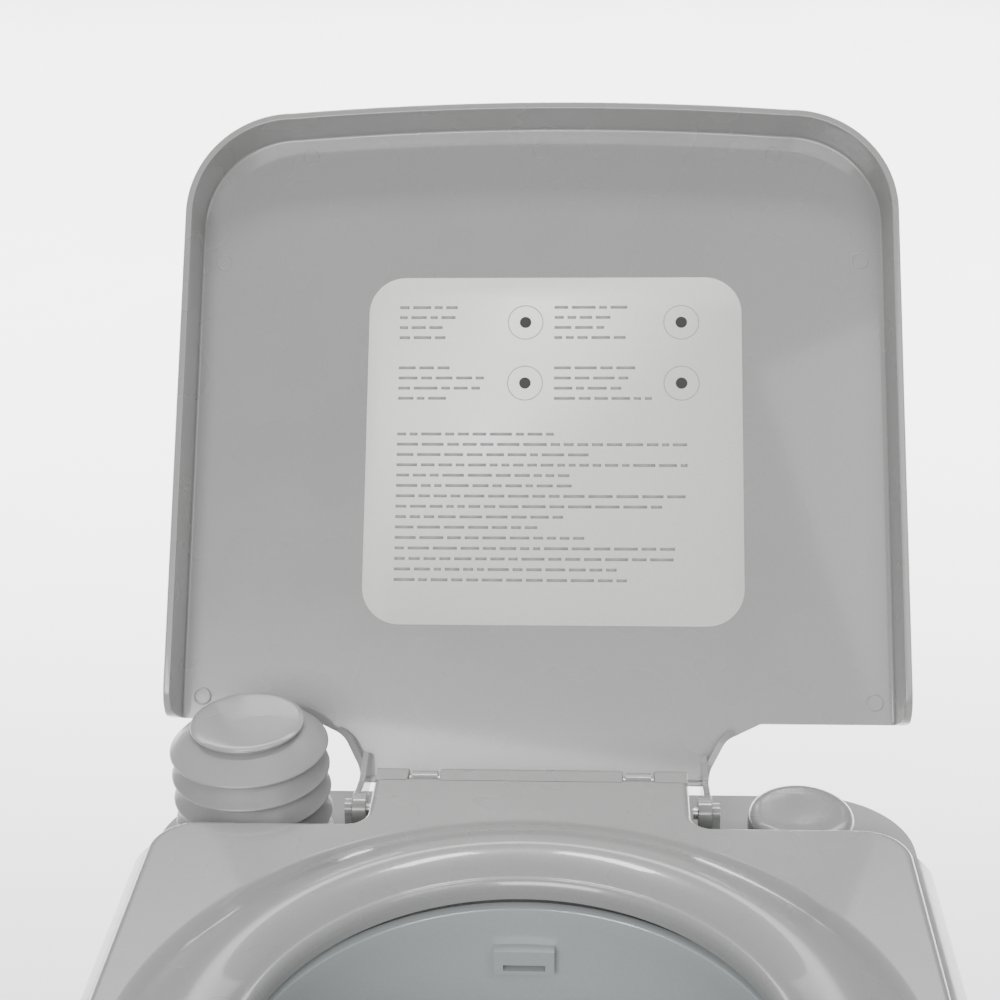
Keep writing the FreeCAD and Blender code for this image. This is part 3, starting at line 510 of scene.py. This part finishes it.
def seat_rings():
    """Rings of points from the plate's edge, over the raised ring and down through the opening."""
    eye = (0.0, -0.04)
    outer = seat_outline(0)

    def shrunk(amount, z):
        """The plate's line moved in along its own normals."""
        ring = []
        count = len(outer)
        for k, (x, y) in enumerate(outer):
            before, after = outer[k - 1], outer[(k + 1) % count]
            tangent = Vector((after[0] - before[0], after[1] - before[1])).normalized()
            normal = Vector((-tangent.y, tangent.x))
            if normal.dot(Vector((eye[0] - x, eye[1] - y))) < 0:
                normal = -normal
            ring.append((x + normal.x * amount, y + normal.y * amount, z))
        return ring

    def elliptic(centre, a, b, z):
        return [(*ellipse_hit(centre, a, b, eye, (x - eye[0], y - eye[1])), z) for x, y in outer]

    rings = [shrunk(0.0009, SEAT_LOW), shrunk(0.0002, SEAT_LOW + 0.0004), shrunk(0, SEAT_LOW + 0.0015)]
    for k in range(5):
        angle = 0.5 * math.pi * k / 4
        rings.append(shrunk(0.003 * (1 - math.cos(angle)), SEAT_TOP - 0.003 + 0.003 * math.sin(angle)))
    slope = ((0.0, 0.0), (0.03, 0.0002), (0.08, 0.0009), (0.14, 0.0021), (0.21, 0.0038), (0.30, 0.0063),
             (0.40, 0.0088), (0.48, 0.0104), (0.56, 0.0115), (0.64, 0.01195), (0.71, 0.0113), (0.78, 0.0098),
             (0.86, 0.0074), (0.915, 0.0051), (0.935, 0.0044), (0.955, 0.0041), (0.975, 0.0030),
             (0.99, 0.0013), (1.0, -0.0010))
    outer_ring = elliptic(RING_Y, RING_A, RING_B, SEAT_TOP)
    hole = elliptic(OPENING_Y, OPENING_A, OPENING_B, SEAT_TOP)
    edge = rings[-1]
    for share in (0.02, 0.25, 0.5, 0.75, 0.97):
        rings.append([tuple(a[i] + (b[i] - a[i]) * share for i in range(3))
                      for a, b in zip(edge, outer_ring)])
    for share, rise in smooth_curve(slope, 3):
        rings.append([(a[0] + (b[0] - a[0]) * share, a[1] + (b[1] - a[1]) * share, SEAT_TOP + rise)
                      for a, b in zip(outer_ring, hole)])
    rings.append([(x, y, LIP + 0.0006) for x, y, _ in hole])
    inner_wall = [elliptic(OPENING_Y, OPENING_A + w, OPENING_B + w, z)
                  for w, z in ((0.0007, LIP), (0.0043, LIP), (0.005, LIP + 0.0006), (0.006, LIP + 0.0008))]
    rings += inner_wall
    rings += [shrunk(0.005, LIP + 0.0004), shrunk(0.005, SEAT_LOW + 0.0006), shrunk(0.0042, SEAT_LOW)]
    return rings


def rounded_rod(name, start, end, radius, edge, steps=48):
    """A rod along X between two stations with rounded ends, about the origin of Y and Z."""
    profile = [(0.0, start)]
    for k in range(5):
        angle = 0.5 * math.pi * k / 4
        profile.append((radius - edge + edge * math.sin(angle), start + edge - edge * math.cos(angle)))
    for k in range(5):
        angle = 0.5 * math.pi * (1 - k / 4)
        profile.append((radius - edge + edge * math.sin(angle), end - edge + edge * math.cos(angle)))
    profile.append((0.0, end))
    rings = []
    for r, x in profile:
        r = max(r, 1e-5)
        rings.append([(x, r * math.cos(2 * math.pi * k / steps), r * math.sin(2 * math.pi * k / steps))
                      for k in range(steps)])
    return mesh_from(name, rings, caps=True)


def moved(mesh, offset):
    mesh.transform(Matrix.Translation(offset))
    return mesh


def build_seat():
    mesh = mesh_from("seat_moulding", seat_rings(), closed_loop=True)
    piece = add_piece("seat_moulding", mesh, "toilet_seat", "body_plastic", "seat")
    soften(piece, 42)
    barrels = []
    for low, high in ((-TAB_HALF, -0.0572), (-0.0428, 0.0428), (0.0572, TAB_HALF)):
        rod = rounded_rod("barrel", low, high, BARREL, 0.0012)
        barrels.append(moved(rod, (0, HINGE_Y, SEAT_AXIS_Z)))
        neck = [(0.1472, SEAT_LOW + 0.0004), (HINGE_Y, SEAT_LOW + 0.0002), (HINGE_Y, SEAT_TOP),
                (0.1472, SEAT_TOP)]
        barrels.append(prism("barrel_neck", neck, low + 0.0004, high - 0.0004, "YZ"))
    barrel = add_piece("seat_barrel", join_meshes("seat_barrel", barrels), "toilet_seat", "body_plastic")
    soften(barrel, 42)
    ribs = []
    for k in range(20):
        angle = 2 * math.pi * (k + 0.5) / 20
        direction = Vector((math.cos(angle), math.sin(angle)))
        inner = ellipse_hit(OPENING_Y, OPENING_A + 0.0045, OPENING_B + 0.0045, (0, -0.04), direction)
        outer = ellipse_hit(RING_Y, RING_A + 0.004, RING_B - 0.006, (0, -0.04), direction)
        side = Vector((-direction.y, direction.x)) * 0.0009
        outline = [(inner[0] + side.x, inner[1] + side.y), (inner[0] - side.x, inner[1] - side.y),
                   (outer[0] - side.x, outer[1] - side.y), (outer[0] + side.x, outer[1] + side.y)]
        ribs.append(prism("rib", outline, 0.3895, 0.3928))
    hoop = [(0.1245, 0.3893), (0.1263, 0.3893), (0.1263, 0.3928), (0.1245, 0.3928)]
    ring = lathe("hoop", hoop, (0, 0), 128)
    ring.transform(Matrix.Diagonal((1, 1.06, 1, 1)))
    ribs.append(moved(ring, (0, -0.041, 0)))
    web = add_piece("seat_ribs", join_meshes("seat_ribs", ribs), "toilet_seat", "body_plastic")
    soften(web, 30)


# ---- bowl, pump and filler ----------------------------------------------------------------------
BOWL_Y, BOWL_RADIUS, OUTLET_RADIUS, OUTLET_LOW, BODY_TOP = -0.045, 0.107, 0.045, 0.205, 0.386
PUMP_X, PUMP_Y, BELLOWS_RADIUS, BELLOWS_WAIST = -0.1325, 0.157, 0.0372, 0.029
BELLOWS_LOW, BELLOWS_HIGH, BELLOWS_RINGS, BUTTON_RADIUS, BUTTON_TOP = 0.356, 0.418, 5, 0.0266, 0.422
CAP_X, CAP_Y, CAP_RADIUS, CAP_TOP, DECK = 0.127, 0.158, 0.025, 0.375, 0.350


def bowl_line(offset, steps=40):
    line = []
    for i in range(steps + 1):
        t = i / steps
        height = BODY_TOP - 0.002 - (BODY_TOP - OUTLET_LOW - 0.012) * t
        spread = (1 - t ** 2.2) ** 0.9
        line.append((OUTLET_RADIUS + (BOWL_RADIUS - OUTLET_RADIUS) * spread + offset, height))
    return line + [(OUTLET_RADIUS + offset, OUTLET_LOW)]


def build_bowl():
    rim = [(BOWL_RADIUS + 0.0024, BODY_TOP + 0.0001), (BOWL_RADIUS + 0.0052, BODY_TOP + 0.0001),
           (BOWL_RADIUS + 0.006, BODY_TOP + 0.0008), (BOWL_RADIUS + 0.0052, BODY_TOP + 0.0016),
           (BOWL_RADIUS + 0.0012, BODY_TOP + 0.0016), (BOWL_RADIUS + 0.0003, BODY_TOP + 0.0011)]
    profile = bowl_line(0) + list(reversed(bowl_line(0.0024))) + rim
    piece = add_piece("bowl_moulding", lathe("bowl_moulding", profile, (0, BOWL_Y), 160), "flush_tank",
                      "bowl_plastic", "toilet_bowl")
    soften(piece, 45)


def bellows_line():
    """Outside of the bellows: stacked saucers with thin lips, and a flat flange under the button."""
    pitch = (BELLOWS_HIGH - BELLOWS_LOW) / BELLOWS_RINGS
    outside = [(BELLOWS_WAIST, BELLOWS_LOW)]
    for i in range(BELLOWS_RINGS):
        base = BELLOWS_LOW + i * pitch
        crest = BELLOWS_RADIUS - 0.0001
        for share, reach in ((0.04, 0.0), (0.08, 0.30), (0.12, 0.74), (0.155, 0.95), (0.19, 1.0),
                             (0.23, 0.985),
                             (0.29, 0.91), (0.45, 0.68), (0.65, 0.42), (0.84, 0.17), (0.95, 0.03)):
            if i < BELLOWS_RINGS - 1 or share < 0.4:
                outside.append((BELLOWS_WAIST + (crest - BELLOWS_WAIST) * reach, base + pitch * share))
    outside += [(0.0330, BELLOWS_HIGH - 0.0056), (0.0290, BELLOWS_HIGH - 0.0026),
                (0.0268, BELLOWS_HIGH - 0.0012)]
    line = smooth_curve(outside, 3)
    line += [(0.0252, BELLOWS_HIGH - 0.0009), (0.0242, BELLOWS_HIGH - 0.0001), (0.0215, BELLOWS_HIGH)]
    inside = [(radius - 0.0016, height) for radius, height in reversed(line[:-1])]
    return line + [(0.019, BELLOWS_HIGH - 0.0006)] + inside


def build_pump():
    bellows = add_piece("bellows_moulding", lathe("bellows_moulding", bellows_line(), (PUMP_X, PUMP_Y), 128),
                        "pump_head", "bellows_rubber", "pump_bellows")
    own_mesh(bellows)
    radius, high, top = BUTTON_RADIUS, BELLOWS_HIGH, BUTTON_TOP
    corners = [(0.00001, high + 0.0002), (radius - 0.0032, high + 0.0002), (radius - 0.0016, high + 0.0007),
               (radius - 0.0004, top - 0.0024), (radius, top - 0.0018), (radius - 0.0002, top - 0.0013),
               (radius - 0.0010, top - 0.0009), (radius - 0.0036, top - 0.0004), (0.0120, top - 0.0001),
               (0.00001, top)]
    shape = lathe("button_moulding", smooth_curve(corners, 4), (PUMP_X, PUMP_Y), 128, closed=False)
    button = add_piece("button_moulding", shape, "pump_head", "body_plastic", "pump_button")
    soften(button, 50)


def build_filler_cap():
    """The cap: a plain crowned top and a finely ribbed side."""
    steps, count = 40 * 6, 40
    profile = [(0.0212, DECK + 0.0016), (CAP_RADIUS, DECK + 0.0016), (CAP_RADIUS, DECK + 0.006),
               (CAP_RADIUS, CAP_TOP - 0.006), (CAP_RADIUS - 0.0002, CAP_TOP - 0.0045),
               (CAP_RADIUS - 0.0009, CAP_TOP - 0.0026), (CAP_RADIUS - 0.0022, CAP_TOP - 0.0012),
               (CAP_RADIUS - 0.0040, CAP_TOP - 0.0004), (CAP_RADIUS - 0.0065, CAP_TOP),
               (0.010, CAP_TOP - 0.0004), (0.00001, CAP_TOP - 0.0005)]
    ribbed = (1, 2, 3)
    rings = []
    for index, (radius, height) in enumerate(profile):
        ring = []
        for k in range(steps):
            angle = 2 * math.pi * k / steps
            notch = 0.0006 * max(0.0, math.cos(count * angle)) ** 2 if index in ribbed else 0
            ring.append((CAP_X + (radius - notch) * math.cos(angle),
                         CAP_Y + (radius - notch) * math.sin(angle), height))
        rings.append(ring)
    turns = [2 * math.pi * k / steps for k in range(steps)]
    for radius, height in ((0.00001, CAP_TOP - 0.003), (0.0212, CAP_TOP - 0.003)):
        rings.append([(CAP_X + radius * math.cos(turn), CAP_Y + radius * math.sin(turn), height)
                      for turn in turns])
    piece = add_piece("cap_moulding", mesh_from("cap_moulding", rings, closed_loop=True), "filler_cap_shell",
                      "body_plastic", "filler_cap")
    soften(piece, 40)


# ---- label --------------------------------------------------------------------------------------
LABEL_X, LABEL_Y, LABEL_WIDTH, LABEL_LENGTH, LABEL_ROUND = 0.008, -0.028, 0.193, 0.182, 0.019
LABEL_MARGIN, FIGURE_ROOM = 0.016, 0.030
LINE_PITCH, BAR_HEIGHT, WORD_GAP = 0.0054, 0.0015, 0.0019
SHORTEST_WORD, LONGEST_WORD = 0.0035, 0.0125
SHORT_BLOCK, LONG_BLOCK = 4, 15
RING_RADIUS, RING_LINE, DOT_RADIUS = 0.0090, 0.0005, 0.0030


def ink(name, colour):
    return plastic(name, colour, 0.5, grain=0.0, peel=0.03, variation=0.02)


def flat_piece(name, outlines, level, thick):
    """Printed marks as very thin slabs under the label's face, drawn with the lid closed."""
    return join_meshes(name, [prism(name, outline, level, level + thick) for outline in outlines])


def bar(x, y, width, height):
    return [(x - width / 2, y - height / 2), (x + width / 2, y - height / 2),
            (x + width / 2, y + height / 2), (x - width / 2, y + height / 2)]


def arc(centre_x, centre_y, radius, start, end, steps=14):
    turns = [math.radians(start + (end - start) * k / steps) for k in range(steps + 1)]
    return [(centre_x + radius * math.cos(turn), centre_y + radius * math.sin(turn)) for turn in turns]


def ring_quads(centre_x, centre_y, radius, width, steps=48):
    """A plain ring as a run of thin quads."""
    outer = arc(centre_x, centre_y, radius + width / 2, 0, 360, steps)
    inner = arc(centre_x, centre_y, radius - width / 2, 0, 360, steps)
    return [[inner[k], outer[k], outer[k + 1], inner[k + 1]] for k in range(steps)]


def word_bars(left, right, y, rng):
    """One line of print as plain bars of uneven length."""
    bars, x = [], left
    while x < right - SHORTEST_WORD / 2:
        width = min(rng.uniform(SHORTEST_WORD, LONGEST_WORD), right - x)
        bars.append(bar(x + width / 2, y, width, BAR_HEIGHT))
        x += width + WORD_GAP
    return bars


def text_block(left, right, first, count, rng):
    """Rows of bars; where each row ends is drawn at random, and follows no real text."""
    bars = []
    for row in range(count):
        end = left + (right - left) * rng.uniform(0.4, 1.0)
        bars += word_bars(left, end, first + row * LINE_PITCH, rng)
    return bars


def build_label():
    """The white label: a face with plain bars for print, and four rings with a dot for figures."""
    half_x, half_y = LABEL_WIDTH / 2, LABEL_LENGTH / 2
    outline = rounded_corners([(LABEL_X + half_x, LABEL_Y - half_y, LABEL_ROUND),
                               (LABEL_X + half_x, LABEL_Y + half_y, LABEL_ROUND),
                               (LABEL_X - half_x, LABEL_Y + half_y, LABEL_ROUND),
                               (LABEL_X - half_x, LABEL_Y - half_y, LABEL_ROUND)], 12)
    face = prism("label", outline, LID_INSIDE - 0.0002, LID_INSIDE - 0.00001)
    add_piece("label_face", lid_opened(face), "toilet_lid", "label_vinyl", "instruction_label")
    left, right = LABEL_X - half_x + LABEL_MARGIN, LABEL_X + half_x - LABEL_MARGIN
    top = LABEL_Y - half_y + LABEL_MARGIN
    rng = random.Random(7)
    bars, dots, rings = [], [], []
    for first in (top, top + 6 * LINE_PITCH):
        for start, end in ((left, LABEL_X - FIGURE_ROOM), (LABEL_X, right - FIGURE_ROOM)):
            bars += text_block(start, end, first, SHORT_BLOCK, rng)
            figure_x, figure_y = end + FIGURE_ROOM / 2, first + (SHORT_BLOCK - 1) / 2 * LINE_PITCH
            rings += ring_quads(figure_x, figure_y, RING_RADIUS, RING_LINE)
            dots.append(arc(figure_x, figure_y, DOT_RADIUS, 0, 345, 23))
    bars += text_block(left, right, top + 12.5 * LINE_PITCH, LONG_BLOCK, rng)
    text = flat_piece("label_print", bars, LID_INSIDE - 0.00026, 0.00007)
    text.materials.append(ink("print_grey", (0.3, 0.3, 0.3)))
    add_piece("label_print", lid_opened(text), "toilet_lid", "label_vinyl")
    marks = flat_piece("label_marks", dots, LID_INSIDE - 0.0003, 0.00011)
    marks.materials.append(ink("print_black", (0.022, 0.021, 0.02)))
    soften(add_piece("label_marks", lid_opened(marks), "toilet_lid", "label_vinyl"), 40)
    lines = flat_piece("label_figures", rings, LID_INSIDE - 0.00025, 0.00006)
    lines.materials.append(ink("print_light_grey", (0.4, 0.4, 0.4)))
    add_piece("label_figures", lid_opened(lines), "toilet_lid", "label_vinyl")


# ---- springs ------------------------------------------------------------------------------------
def coil(name, x, y, low, high, radius, wire, turns, steps=24, sides=8):
    rings = []
    total = steps * turns
    for i in range(total + 1):
        angle = 2 * math.pi * i / steps
        middle = Vector((x + radius * math.cos(angle), y + radius * math.sin(angle),
                         low + wire + (high - low - 2 * wire) * i / total))
        out = Vector((math.cos(angle), math.sin(angle), 0))
        rings.append([tuple(middle + wire * (out * math.cos(2 * math.pi * k / sides)
                                             + Vector((0, 0, 1)) * math.sin(2 * math.pi * k / sides)))
                      for k in range(sides)])
    return mesh_from(name, rings, caps=True)


def build_springs():
    wire = coil("return_coil", PUMP_X, PUMP_Y, BELLOWS_LOW + 0.0001, BELLOWS_HIGH - 0.0009, 0.016, 0.0008, 5)
    piece = add_piece("pump_coil", wire, "pump_head", "steel", "pump_return_spring")
    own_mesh(piece)
    wire = coil("vent_coil", 0.032, 0.178, 0.1303, 0.1328, 0.0054, 0.0004, 2)
    piece = add_piece("vent_coil", wire, "vent", "steel", "vent_spring")
    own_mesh(piece)


# ---- floor, light and camera --------------------------------------------------------------------
def build_floor():
    mesh = bpy.data.meshes.new("floor")
    rings = []
    profile = [(-8.0 + 4.0 * k, 0.0) for k in range(9)]
    for x in (-12.0, 12.0):
        rings.append([(x, y, z) for y, z in profile])
    points = [p for ring in rings for p in ring]
    count = len(profile)
    mesh.from_pydata(points, [], [(k, k + 1, count + k + 1, count + k) for k in range(count - 1)])
    for face in mesh.polygons:
        face.use_smooth = True
    floor = bpy.data.objects.new("floor", mesh)
    bpy.context.scene.collection.objects.link(floor)
    material, nodes, links, shader = nodes_of("pale_floor")
    coords = nodes.new("ShaderNodeTexCoord")
    tint = ramp(nodes, links, noise(nodes, links, 3, 2, coords),
                ((0.3, (0.83, 0.83, 0.83)), (0.7, (0.86, 0.86, 0.86))))
    links.new(tint.outputs["Color"], shader.inputs["Base Color"])
    shader.inputs["Roughness"].default_value = 0.9
    mesh.materials.append(material)


def soft_box(name, place, target, size, power, spread=180):
    light = bpy.data.lights.new(name, "AREA")
    light.shape = "RECTANGLE"
    light.size, light.size_y = size
    light.energy = power
    light.spread = math.radians(spread)
    lamp = bpy.data.objects.new(name, light)
    bpy.context.scene.collection.objects.link(lamp)
    lamp.location = place
    lamp.rotation_euler = (Vector(target) - Vector(place)).to_track_quat("-Z", "Y").to_euler()


def build_light():
    world = bpy.data.worlds.new("studio")
    bpy.context.scene.world = world
    world.use_nodes = True
    world.node_tree.nodes["Background"].inputs["Color"].default_value = (1, 1, 1, 1)
    world.node_tree.nodes["Background"].inputs["Strength"].default_value = 0.4
    soft_box("key", (-0.45, -2.0, 1.45), (0, 0.1, 0.45), (1.5, 1.1), 56)
    soft_box("fill", (0.9, -1.2, 1.9), (0, 0.35, 0.6), (1.0, 1.0), 10)
    soft_box("left_strip", (-0.39, 0.5, 2.55), (-0.39, 0.48, 0), (0.40, 0.30), 14)
    soft_box("right_strip", (0.24, 0.5, 2.55), (0.24, 0.48, 0), (0.32, 0.30), 11)
    soft_box("backdrop", (0.0, 3.3, 1.25), (0, 3.3, 0), (8.5, 5.2), 850, 115)


def build_camera():
    """The camera stands 0.56 m in front and 0.86 m up, looking down 24 degrees."""
    yaw, pitch, roll = math.radians(-3.32), math.radians(24.2), math.radians(-1.14)
    ahead = Vector((math.sin(yaw) * math.cos(pitch), math.cos(yaw) * math.cos(pitch), -math.sin(pitch)))
    level = Vector((math.cos(yaw), -math.sin(yaw), 0))
    upright = level.cross(ahead)
    right = math.cos(roll) * level + math.sin(roll) * upright
    up = -math.sin(roll) * level + math.cos(roll) * upright
    data = bpy.data.cameras.new("camera")
    data.lens, data.sensor_width = 64.8, 36
    data.clip_start, data.clip_end = 0.02, 20
    camera = bpy.data.objects.new("camera", data)
    bpy.context.scene.collection.objects.link(camera)
    turn = Matrix((right, up, -ahead)).transposed().to_4x4()
    camera.matrix_world = Matrix.Translation((0.02945, -0.5605, 0.8577)) @ turn
    bpy.context.scene.camera = camera


finish_cad_nodes()
build_lid()
build_label()
build_seat()
build_bowl()
build_pump()
build_filler_cap()
build_springs()
build_floor()
build_light()
build_camera()
